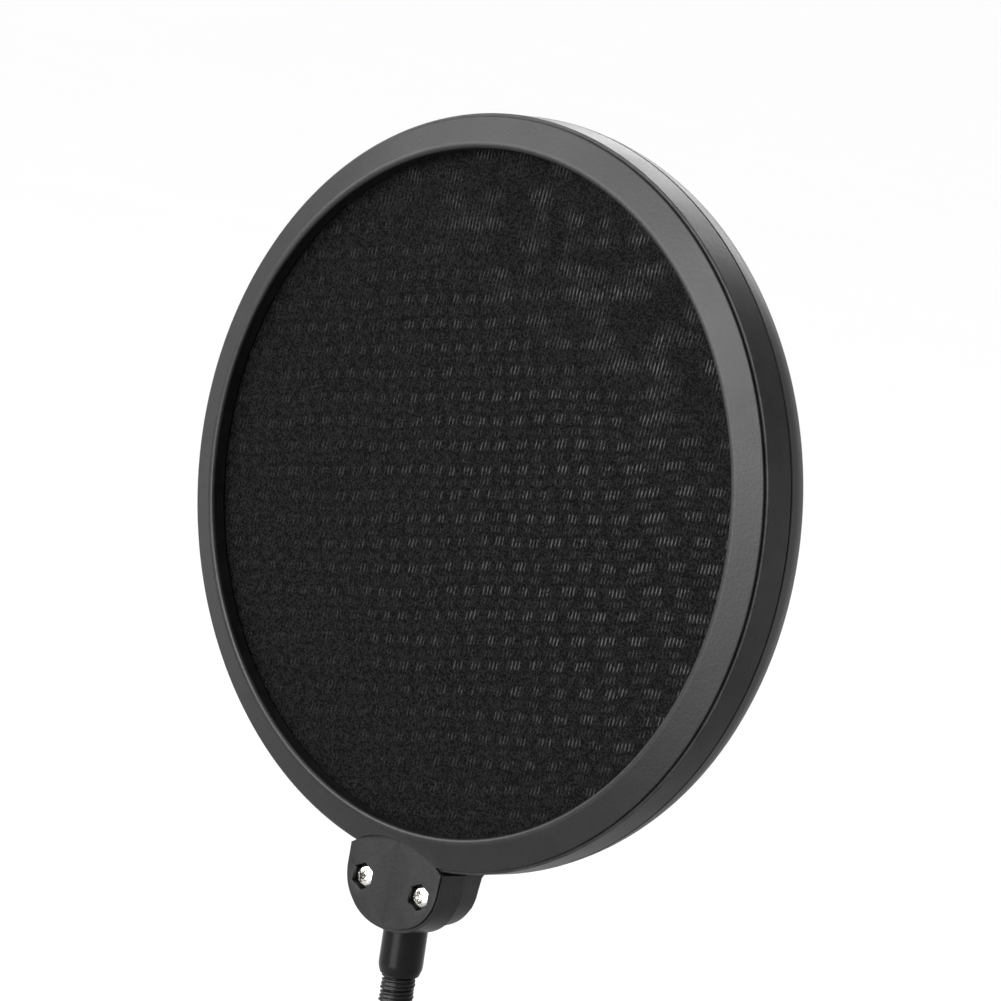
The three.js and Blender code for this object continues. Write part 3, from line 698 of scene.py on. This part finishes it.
class PopFilterBoss(Operator):
    """Makes the three layers of the boss that holds the neck: the thin plate with hexagonal screw
    pockets, the middle block and the tapered rear block with nut pockets."""

    bl_idname = "pop_filter.boss"
    bl_label = "Boss"

    def execute(self, context):
        head = context.scene.pop_filter_head
        self.layer("boss_plate", boss_block(
            head, 12.8, -91.6, PLATE_FRONT, PLATE_BACK,
            lambda angle: [
                (3.6, PLATE_BACK), (3.6, 2.2), (HOLE_RADIUS, 2.2), (HOLE_RADIUS, 4.2),
                (hexagon(angle, PLATE_POCKET), 4.2), (hexagon(angle, PLATE_POCKET), PLATE_FRONT)],
            round_front=0.2, round_back=0.1))
        self.layer("boss_block", boss_block(
            head, 13.0, -92.5, BLOCK_FRONT, BLOCK_BACK,
            lambda angle: [
                (HOLE_RADIUS, BLOCK_BACK), (HOLE_RADIUS, 1.9), (3.9, 1.9), (3.9, BLOCK_FRONT)],
            round_front=0.3, round_back=0.3))
        self.layer("boss_cover", boss_block(
            head, 12.6, -91.8, COVER_FRONT, COVER_BACK,
            lambda angle: [
                (hexagon(angle, NUT_POCKET), COVER_BACK), (hexagon(angle, NUT_POCKET), -4.5),
                (HOLE_RADIUS, -4.5), (HOLE_RADIUS, COVER_FRONT)],
            taper=1.0, round_front=0.3, round_back=0.7))
        return {"FINISHED"}

    def layer(self, name, shells):
        """One layer of the boss, made of its two halves."""
        finished(name, shells, "black_abs", body="head")


class PopFilterMeshes(Operator):
    """Makes the two stretched discs of knitted nylon. Each is a thin round plate whose outline is
    turned about the head's axis, with a soft outer edge held between the rings."""

    bl_idname = "pop_filter.meshes"
    bl_label = "Meshes"

    def execute(self, context):
        knit = context.scene.pop_filter_mesh
        radii = np.linspace(0, MESH_RADIUS - 0.2, 24)
        for node, depth in (("front_mesh", MESH_DEPTH), ("rear_mesh", -MESH_DEPTH)):
            face = np.stack([radii, 0 * radii + depth + 0.2], axis=-1)
            outline = np.concatenate([face, [[MESH_RADIUS, depth]], face[::-1] - [0, 0.4]])
            points, quads = turned(outline, knit.columns, wrap=False)
            disc = finished(
                f"{node}_fabric", [(in_head(points), quads)], "nylon_mesh",
                even=False, body="head", stands_for=[node])
        return {"FINISHED"}


class PopFilterBossScrews(Operator):
    """Makes the two pan-head screws and their nuts. A head is a dome over polar coordinates with a
    tapering cross sunk in it; its shank has ridges every 0.45 mm; a nut is a hexagon whose corners are
    cut by a cone."""

    bl_idname = "pop_filter.boss_screws"
    bl_label = "Boss screws"

    def execute(self, context):
        depth = np.arange(-6.9, 4.7, 0.125)
        shank = np.stack([1.12 + 0.11 * np.cos(TURN * depth / SHANK_PITCH), depth], axis=-1)
        shank = np.concatenate([[[0, -7.0]], [[1.0, -7.0]], shank, [[0, 4.7]]])
        rod, rod_quads = turned(shank, 32, wrap=False)
        nut, nut_quads = self.nut()
        for side, sign, turn in (("left", -1, 1.1), ("right", 1, 0.35)):
            place = np.array([sign * SCREW_X, SCREW_UP, 0.0])
            head, quads = self.screw_head(turn)
            finished(
                f"screw_{side}", [(in_head(head + place), quads), (in_head(rod + place), rod_quads)],
                "bright_steel", even=False, body="head", stands_for=[f"boss_screw_{side}"], sharp=50.0)
            finished(
                f"nut_{side}", [(in_head(nut + place), nut_quads)], "bright_steel",
                even=False, body="head", stands_for=[f"boss_nut_{side}"])
        return {"FINISHED"}

    def screw_head(self, turn):
        """Head of radius R: a flat underside, a rounded side, and a dome h = top - 0.75 (r/R)^2.8 less
        the cross, whose arms are slots that fade out at their ends and narrow with depth."""
        columns = 120
        angle = angles(columns)
        radius = np.concatenate([np.linspace(0.0, 2.0, 34), np.linspace(2.06, 2.44, 7)])[:, None]
        dome = SCREW_TOP - 0.75 * (radius / SCREW_RADIUS) ** 2.8
        x, y = radius * np.cos(angle - turn), radius * np.sin(angle - turn)

        def slot(along, across):
            width = 0.62 - 0.14 * np.abs(along)
            side = np.clip((width - np.abs(across)) / 0.12, 0, 1)
            end = np.clip((1.5 - np.abs(along)) / 0.3, 0, 1)
            return side * end

        cross = np.maximum(slot(x, y), slot(y, x))
        sunk = dome - cross * (2.1 - 0.6 * np.hypot(x, y))
        rim = np.array([[SCREW_RADIUS, 5.8], [SCREW_RADIUS, 4.7], [2.42, 4.52], [0.0, SCREW_SEAT]])
        points = np.concatenate([around(radius, angle, sunk), around(rim[:, :1], angle, rim[:, 1:])])
        return points.reshape(-1, 3), grid(len(points), columns, wrap_rows=False)

    def nut(self):
        """A hexagon with a hole through it, whose corners are cut by a cone at both ends."""
        columns = 72
        angle = angles(columns)
        side = hexagon(angle + TURN / 12, NUT_CORNER)
        cut = np.maximum(side - 2.5, 0) * 0.58
        chamfer = np.minimum(side, 2.5)
        points = np.stack([
            around(radius, angle, height) for radius, height in (
                (1.3, NUT_BACK + 0.25), (1.5, NUT_BACK), (chamfer, NUT_BACK),
                (side, NUT_BACK + cut + 0.03), (side, NUT_FRONT - cut - 0.03), (chamfer, NUT_FRONT),
                (1.5, NUT_FRONT), (1.3, NUT_FRONT - 0.25))])
        return points.reshape(-1, 3), grid(len(points), columns)


# ------------------------------------------------------------------ operators: neck
def coil(along, angle, neck):
    """Outer radius of the spiral tube: for a phase that rises once a pitch along the neck and once a
    turn round it, three ribs, the first one proudest, and a deep groove beside it."""
    phase = along / neck.pitch - angle / TURN
    ribs = 0.12 * (1 - np.cos(3 * TURN * phase)) + 0.07 * (1 - np.cos(TURN * phase))
    beside = (phase + 0.18 + 0.5) % 1 - 0.5
    return neck.radius - ribs - 0.34 * np.exp(-((beside / 0.085) ** 2))


class PopFilterNeck(Operator):
    """Makes the spiral neck in lengths that each lie round one joint, with a half length fixed at each
    end. A length is an outer grid of coil radii along the neck's arc and a smooth bore inside it."""

    bl_idname = "pop_filter.neck"
    bl_label = "Neck"

    def execute(self, context):
        neck = context.scene.pop_filter_neck
        joints = len(NECK_JOINTS)
        for index in range(joints + 2):
            start = max(SECTION * (index - 0.5), 0.0)
            end = min(SECTION * (index + 0.5), NECK_LENGTH)
            nodes = [f"neck_section_{index + 1}"] if index < joints + 1 else []
            shell = self.length_of_neck(neck, start, end)
            made = finished(
                f"neck_coil_{index + 1}", [shell], "black_steel", even=False, stands_for=nodes,
                clean=False, sharp=80.0)
            if index in (0, joints + 1):
                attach(made, "clamp" if index == 0 else "head")
                continue
            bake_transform(made)
        return {"FINISHED"}

    def length_of_neck(self, neck, start, end):
        """A closed tube between two lengths: rows of coil radii go up, and rows of the bore come back."""
        angle = angles(neck.columns)
        rows = int(round((end - start) / neck.row_step)) + 1
        along = np.linspace(start, end, rows)[:, None]
        outer = coil(along, angle, neck)
        back = np.linspace(end, start, 33 if end - start > SECTION / 2 + 1 else 17)[:, None]
        radius = np.concatenate([outer, neck.bore + 0 * back * angle])
        along = np.concatenate([along, back])
        points = around(radius, angle, along)
        return on_neck(points).reshape(-1, 3), grid(len(points), neck.columns)


class PopFilterFerrules(Operator):
    """Makes the smooth ferrules at both ends of the neck: turned outlines with a chamfered mouth, a
    plain collar and the stub that its holder grips."""

    bl_idname = "pop_filter.ferrules"
    bl_label = "Ferrules"

    def execute(self, context):
        columns = context.scene.pop_filter_clamp.columns
        wide, thin, socket = FERRULE_RADIUS, STUB_RADIUS, NECK_SOCKET
        lathe(
            "ferrule_upper", "upper_ferrule", "black_steel", "head",
            [[0, 0.3], [socket, 0.3], [socket, -2.3], [4.1, -2.3], [wide, -0.7], [wide, 11],
             [thin, 11], [thin, 15], [wide, 15], [wide, 17], [thin, 17], [thin, 20], [0, 20]],
            [0, 0.1, 0.05, 0.12, 0.7, 0.2, 0.2, 0.2, 0.2, 0.2, 0.2, 0.4, 0], columns, 6, past_neck)
        low, high = bottom("lower_ferrule"), top("lower_ferrule")
        collar = bottom("clamp_frame") + 94.3
        lathe(
            "ferrule_lower", "lower_ferrule", "black_steel", "clamp",
            [[0, low], [thin, low], [thin, collar], [wide, collar], [wide, high - 1.6], [4.1, high],
             [socket, high], [socket, high - 2.6], [0, high - 2.6]],
            [0, 0.4, 0.2, 0.3, 0.7, 0.12, 0.05, 0.1, 0], columns, 6)
        return {"FINISHED"}


# ------------------------------------------------------------------ operators: clamp
def arc_points(centre, radius, start, end, steps=10):
    """Points on an arc between two angles in quarter turns."""
    angle = np.linspace(start, end, steps) * TURN / 4
    return np.asarray(centre) + radius * np.stack([np.cos(angle), np.sin(angle)], axis=-1)


def inset(outline, amount):
    """A closed outline, given anticlockwise, moved inwards along its normals by the amount."""
    way = np.roll(outline, -1, axis=0) - np.roll(outline, 1, axis=0)
    way /= np.linalg.norm(way, axis=1, keepdims=True)
    return outline + amount * np.stack([-way[:, 1], way[:, 0]], axis=-1)


def cushioned(outline, low, high, soft, steps=5):
    """A slab with the outline, between two heights, its edges rounded by quarter circles: at each of a
    few angles t the outline is inset by soft (1 - cos t) while the height gains soft sin t."""
    t = np.linspace(TURN / 4, 0, steps)
    inward = soft * (1 - np.cos(t))
    lift = soft * (1 - np.sin(t))
    insets = np.concatenate([inward, inward[::-1]])
    heights = np.concatenate([low + lift, (high - lift)[::-1]])
    rings = np.stack([inset(outline, amount) for amount in insets])
    rows, columns = rings.shape[:2]
    points = np.concatenate([rings, np.broadcast_to(heights[:, None, None], (rows, columns, 1))], -1)
    faces = grid(rows, columns, wrap_rows=False).tolist()
    faces.append(list(range(columns))[::-1])
    faces.append(list(range((rows - 1) * columns, rows * columns)))
    return points.reshape(-1, 3), faces


class PopFilterClampFrame(Operator):
    """Makes the C-shaped frame, its round tower for the neck, and the rubber pad on its fixed jaw. The
    frame is its outline across the throat, carried over the width with rounded edges."""

    bl_idname = "pop_filter.clamp_frame"
    bl_label = "Clamp frame"

    def execute(self, context):
        clamp = context.scene.pop_filter_clamp
        low_arm, top_arm = bottom("clamp_frame"), 14.0
        outline = np.concatenate([
            arc_points((21, -2), 5, 1, 0), arc_points((21, -57), 5, 0, -1),
            arc_points((-9, -65), 3, 1, 2), arc_points((-9, low_arm + 3), 3, 2, 3),
            arc_points((26, low_arm + 12), 12, 3, 4), arc_points((26, top_arm - 12), 12, 0, 1),
            arc_points((-9, top_arm - 3), 3, 1, 2), arc_points((-9, 6), 3, 2, 3)])
        half = clamp.width / 2
        points, faces = cushioned(outline, -half, half, 1.3)
        shell = (upright(points[:, [0, 2, 1]]), faces)
        tower = [[0, 4], [8.0, 4], [8.0, 20], [3.7, 20], [3.7, 12], [0, 12]]
        points, quads = solid_of_revolution(tower, [0, 0.2, 0.9, 0.3, 0.1, 0], clamp.columns, 6)
        finished(
            "clamp_body", [shell, (upright(points), quads)], "black_abs",
            body="clamp", stands_for=["clamp_frame"], sharp=40.0)
        corners = np.concatenate([
            arc_points((8, 6), 2, 0, 1), arc_points((-8, 6), 2, 1, 2),
            arc_points((-8, -6), 2, 2, 3), arc_points((8, -6), 2, 3, 4)])
        points, faces = cushioned(corners, 0.0, top("jaw_pad"), 0.5)
        finished(
            "jaw_rubber", [(upright(points), faces)], "black_rubber",
            body="clamp", stands_for=["jaw_pad"])
        height = middle("ferrule_set_screw")[2] / MM
        lathe(
            "grub_screw", "ferrule_set_screw", "black_steel", "clamp",
            [[0, 3.8], [1.7, 3.8], [2.0, 4.1], [2.0, 8.7], [1.4, 8.7], [1.15, 8.5], [1.15, 6.7], [0, 6.4]],
            [0, 0.1, 0.1, 0.15, 0.1, 0.1, 0.1, 0], 48,
            place=lambda points: upright(sideways(points) + [0, 0, height]), even=False)
        insert = [[4.3, INSERT_LOW], [7, INSERT_LOW], [7, INSERT_FLANGE], [8.6, INSERT_FLANGE],
                  [8.6, INSERT_TOP], [4.3, INSERT_TOP]]
        points, quads = turned(rounded(insert, [0.5, 0.2, 0.1, 0.2, 0.5, 0.5]), clamp.columns)
        finished(
            "brass_insert", [(upright(points), quads)], "brass",
            body="clamp", stands_for=["thread_insert"])
        return {"FINISHED"}


class PopFilterPressurePad(Operator):
    """Makes the swivel pad: a turned cup with a rubber face and the spring ring that holds the screw."""

    bl_idname = "pop_filter.pressure_pad"
    bl_label = "Pressure pad"

    def execute(self, context):
        columns = context.scene.pop_filter_clamp.columns
        face = top("pressure_pad")
        lathe(
            "pad_cup", "pressure_pad", "black_abs", "pad",
            [[0, face - 2], [4.3, face - 2], [4.3, face - 6], [6.5, face - 6], [7.5, face - 2.2],
             [11, face - 1.6], [11, face], [0, face]],
            [0, 0.2, 0.3, 0.6, 0.8, 0.5, 0.3, 0], columns)
        low, high = bottom("pressure_pad_rubber"), top("pressure_pad_rubber")
        rings = np.linspace(10.2, 0.6, 49)
        ridged = np.stack([rings, high - 0.16 * (1 - np.cos(TURN * rings / 1.6))], axis=-1)
        outline = np.concatenate([
            [[0, low], [10.6, low], [11, low + 0.5], [11, high - 0.5], [10.6, high]],
            ridged, [[0, high]]])
        points, quads = turned(outline, columns, wrap=False)
        finished(
            "pad_rubber", [(upright(points), quads)], "black_rubber",
            body="pad", stands_for=["pressure_pad_rubber"])
        low = bottom("pad_retaining_ring")
        ring = [[2.7, low], [4.0, low], [4.0, low + 1], [2.7, low + 1]]
        points, quads = turned(rounded(ring, 0.3), columns)
        finished(
            "spring_ring", [(upright(points), quads)], "bright_steel",
            even=False, body="pad", stands_for=["pad_retaining_ring"])
        return {"FINISHED"}


class PopFilterClampScrew(Operator):
    """Makes the threaded clamp screw, its lobed knob, the knob's cap and the pin through its hub. The
    thread's radius falls with the distance from its crest, whose height rises one pitch each turn; the
    knob's radius swells and shrinks once for each lobe."""

    bl_idname = "pop_filter.clamp_screw"
    bl_label = "Clamp screw and knob"

    def execute(self, context):
        clamp = context.scene.pop_filter_clamp
        finished(
            "threaded_screw", [self.threaded_rod(clamp)], "bright_steel",
            even=False, body="screw", stands_for=["clamp_screw"], sharp=45.0)
        finished(
            "knob", [self.knob(clamp)], "black_abs", body="screw", stands_for=["clamp_knob"], sharp=50.0)
        low, high = bottom("knob_cap"), top("knob_cap")
        lathe(
            "cap", "knob_cap", "black_abs", "screw",
            [[0, low], [8, low], [8, high], [0, high]], [0, 0.5, 0.2, 0], clamp.columns)
        centre = middle("knob_pin")
        lathe(
            "hub_pin", "knob_pin", "bright_steel", "screw",
            [[0, -8.6], [1.25, -8.6], [1.25, 8.6], [0, 8.6]], [0, 0.3, 0.3, 0], 40,
            place=lambda points: upright(points[:, [2, 0, 1]]) + centre, even=False)
        return {"FINISHED"}

    def threaded_rod(self, clamp):
        """Radius = crest less a flank that deepens with the distance from the nearest crest. Crests lie
        where height / pitch - angle / turn is whole. The thread fades out at both ends."""
        head = top("clamp_screw")
        columns = 64
        angle = angles(columns)
        height = np.arange(ROD_FOOT, ROD_NECK, 0.2)[:, None]
        phase = (height / clamp.thread_pitch - angle / TURN + 0.5) % 1 - 0.5
        flank = np.clip(np.abs(phase) * 2.4 - 0.28, 0, 0.86) * clamp.thread_depth
        fade = np.clip((height - ROD_FOOT) / 0.8, 0, 1) * np.clip((-42.4 - height) / 1.2, 0, 1)
        thread = ROD_RADIUS - clamp.thread_depth * (1 - fade) - flank * fade
        ends = np.array([
            [2.4, -41.6], [2.4, head - 2.2], [3.9, head - 2.0], [ROD_RADIUS, head - 1.8],
            [ROD_RADIUS, head - 0.4], [3.6, head], [0, head]])
        radius = np.concatenate([0 * angle[None], thread, ends[:, :1] + 0 * angle])
        points = around(radius, angle, np.concatenate([[[ROD_FOOT]], height, ends[:, 1:]]))
        return upright(points).reshape(-1, 3), grid(len(points), columns, wrap_rows=False)

    def knob(self, clamp):
        """Radius = outline + share * (1.3 c - 0.25 (1 - c^2)), where c is the cosine of the lobes times
        the angle and share rises from 0 at 9.5 mm to 1 at 16.5 mm."""
        low, high = bottom("clamp_knob"), top("clamp_knob")
        outline = rounded([
            [4.3, low + 5.7], [8.3, low + 1.9], [8.3, low], [16.5, low], [16.5, high - 6],
            [9, high - 6], [9, high], [4.3, high]], [0.3, 0.2, 0.4, 1.6, 1.6, 0.8, 0.6, 0.3], 7)
        angle = angles(4 * clamp.columns)
        wave = np.cos(clamp.lobes * angle)
        share = np.clip((outline[:, 0] - 9.5) / 7.0, 0, 1)[:, None]
        lobes = 1.3 * wave - 0.25 * (1 - wave**2)
        radius = outline[:, :1] + share * lobes
        points = around(radius, angle, outline[:, 1:])
        return upright(points).reshape(-1, 3), grid(len(points), len(angle))


# ------------------------------------------------------------------ operators: stage
def panel_light(name, place, aim, width, height, strength):
    """A soft panel light of a given size, in metres, that faces a point. Its power is the strength
    times its area, so that the strength is how bright it looks."""
    lamp = bpy.data.lights.new(name, "AREA")
    lamp.shape = "RECTANGLE"
    lamp.size, lamp.size_y = width, height
    lamp.energy = strength * width * height * np.pi
    made = bpy.data.objects.new(name, lamp)
    bpy.context.scene.collection.objects.link(made)
    made.location = place
    made.rotation_mode = "QUATERNION"
    made.rotation_quaternion = (Vector(aim) - Vector(place)).to_track_quat("-Z", "Y")
    made.visible_camera = False
    return made


class PopFilterStage(Operator):
    """Makes the camera, a wide pale floor with a painted shade below the part, the lights and the
    surround.
    """

    bl_idname = "pop_filter.stage"
    bl_label = "Stage"

    def execute(self, context):
        scene = context.scene
        stage = scene.pop_filter_stage
        self.camera(scene)
        radii = np.array([[0.0, 0.0], [0.4, 0.0], [3.0, 0.0], [12.0, 0.0], [40.0, 0.0]])
        points, quads = turned(radii, 64, wrap=False)
        points[:, 2] = bottom("clamp_knob") * MM - stage.floor_drop
        mesh = bpy.data.meshes.new("Floor")
        mesh.from_pydata(points, [], quads)
        mesh.validate()
        floor = bpy.data.objects.new("Floor", mesh)
        scene.collection.objects.link(floor)
        paint = Finish("Pale floor")
        where = paint.add("TexCoord").outputs["Object"]
        cloud = paint.noise(where, 3.0)
        tint = tuple(stage.floor)
        reach = paint.add("VectorMath", {0: where}, operation="LENGTH").outputs["Value"]
        far = paint.mix(cloud, lighter(tint, 0.985), tint)
        # painted shade: the floor is darker below the part and reaches its full paint further out
        shade = paint.mix(paint.span(reach, *FLOOR_FADE), lighter(tint, FLOOR_PAINTED_SHADE), far)
        mesh.materials.append(paint.surface(**{"Base Color": shade, "Roughness": 0.9}))
        self.lights(stage)
        self.surround(scene, stage)
        scene.view_settings.view_transform = "Standard"
        return {"FINISHED"}

    def lights(self, stage):
        """A wide panel high on the left in front, a tall one straight in front, one high behind on the
        left, a faint one behind on the right, and a soft sun from straight above."""
        centre = Vector(HEAD)
        panel_light("Key", centre + Vector((-0.74, -1.42, 0.58)), centre, 2.6, 1.25, stage.key)
        panel_light("Fill", centre + Vector((0.0, -1.7, 0.05)), centre, 1.1, 1.95, stage.fill)
        panel_light("Back", centre + Vector((-0.68, 1.35, 0.9)), centre, 1.1, 0.8, stage.back)
        panel_light("Side", centre + Vector((1.2, 1.4, 0.15)), centre, 0.9, 0.9, stage.side)

        lamp = bpy.data.lights.new("Top", "SUN")
        lamp.energy, lamp.angle = stage.top, 0.7
        made = bpy.data.objects.new("Top", lamp)
        bpy.context.scene.collection.objects.link(made)

    def surround(self, scene, stage):
        """A sky that is white at the horizon and dimmer overhead."""
        world = bpy.data.worlds.new("Surround")
        world.use_nodes = True
        nodes, links = world.node_tree.nodes, world.node_tree.links
        way = nodes.new("ShaderNodeTexCoord")
        axes = nodes.new("ShaderNodeSeparateXYZ")
        rise = nodes.new("ShaderNodeMapRange")
        rise.interpolation_type = "SMOOTHSTEP"
        for socket, value in zip(rise.inputs[1:5], (0.05, 0.5, stage.horizon, stage.zenith)):
            socket.default_value = value
        links.new(way.outputs["Generated"], axes.inputs[0])
        links.new(axes.outputs["Z"], rise.inputs["Value"])
        links.new(rise.outputs["Result"], nodes["Background"].inputs["Strength"])
        nodes["Background"].inputs["Color"].default_value = (1, 1, 1, 1)
        scene.world = world

    def camera(self, scene):
        """A long lens on the rim's plane: back along the line of sight, and turned about it."""
        azimuth, elevation, roll = np.radians(VIEW_AZIMUTH_ELEVATION_ROLL)
        back = np.array([
            np.sin(azimuth) * np.cos(elevation), -np.cos(azimuth) * np.cos(elevation),
            np.sin(elevation)])
        level = np.array([np.cos(azimuth), np.sin(azimuth), 0.0])
        rise = np.cross(back, level)
        right = np.cos(roll) * level + np.sin(roll) * rise
        up = np.cross(back, right)
        rim_centre = HEAD / MM + [0, -PLATE_FRONT, 0]
        place = rim_centre + VIEW_RIGHT * right - VIEW_DOWN * up + VIEW_DISTANCE * back
        lens = bpy.data.cameras.new("Camera")
        lens.lens, lens.sensor_width = VIEW_LENS, 36.0
        lens.clip_start, lens.clip_end = 0.05, 200.0
        made = bpy.data.objects.new("Camera", lens)
        scene.collection.objects.link(made)
        pose = np.eye(4)
        pose[:3, 0], pose[:3, 1], pose[:3, 2], pose[:3, 3] = right, up, back, place * MM
        made.matrix_world = Matrix(pose.tolist())
        scene.camera = made


# ------------------------------------------------------------------ add-on
GROUPS = {
    "pop_filter_head": PopFilterHeadSettings,
    "pop_filter_mesh": PopFilterMeshSettings,
    "pop_filter_neck": PopFilterNeckSettings,
    "pop_filter_clamp": PopFilterClampSettings,
    "pop_filter_finish": PopFilterFinishSettings,
    "pop_filter_stage": PopFilterStageSettings,
}
OPERATORS = (
    PopFilterStage, PopFilterRings, PopFilterBoss, PopFilterMeshes, PopFilterBossScrews,
    PopFilterFerrules, PopFilterNeck, PopFilterClampFrame, PopFilterPressurePad, PopFilterClampScrew)


class PopFilterPanel(Panel):
    """Lists the settings and the pieces that can be made."""

    bl_idname = "VIEW3D_PT_pop_filter"
    bl_label = "Pop Filter"
    bl_space_type = "VIEW_3D"
    bl_region_type = "UI"
    bl_category = "Pop Filter"

    def draw(self, context):
        for operator in OPERATORS:
            self.layout.operator(operator.bl_idname)
        for name, group in GROUPS.items():
            box = self.layout.box()
            for setting in group.__annotations__:
                box.prop(getattr(context.scene, name), setting)


def register():
    for group in GROUPS.values():
        bpy.utils.register_class(group)
    for operator in OPERATORS:
        bpy.utils.register_class(operator)
    bpy.utils.register_class(PopFilterPanel)
    for name, group in GROUPS.items():
        setattr(bpy.types.Scene, name, PointerProperty(type=group))


def unregister():
    for name in GROUPS:
        delattr(bpy.types.Scene, name)
    bpy.utils.unregister_class(PopFilterPanel)
    for kind in (*reversed(OPERATORS), *reversed(GROUPS.values())):
        bpy.utils.unregister_class(kind)


def main():
    register()
    make_finishes()
    for operator in OPERATORS:
        section, name = operator.bl_idname.split(".")
        getattr(getattr(bpy.ops, section), name)()


if __name__ == "__main__":
    main()
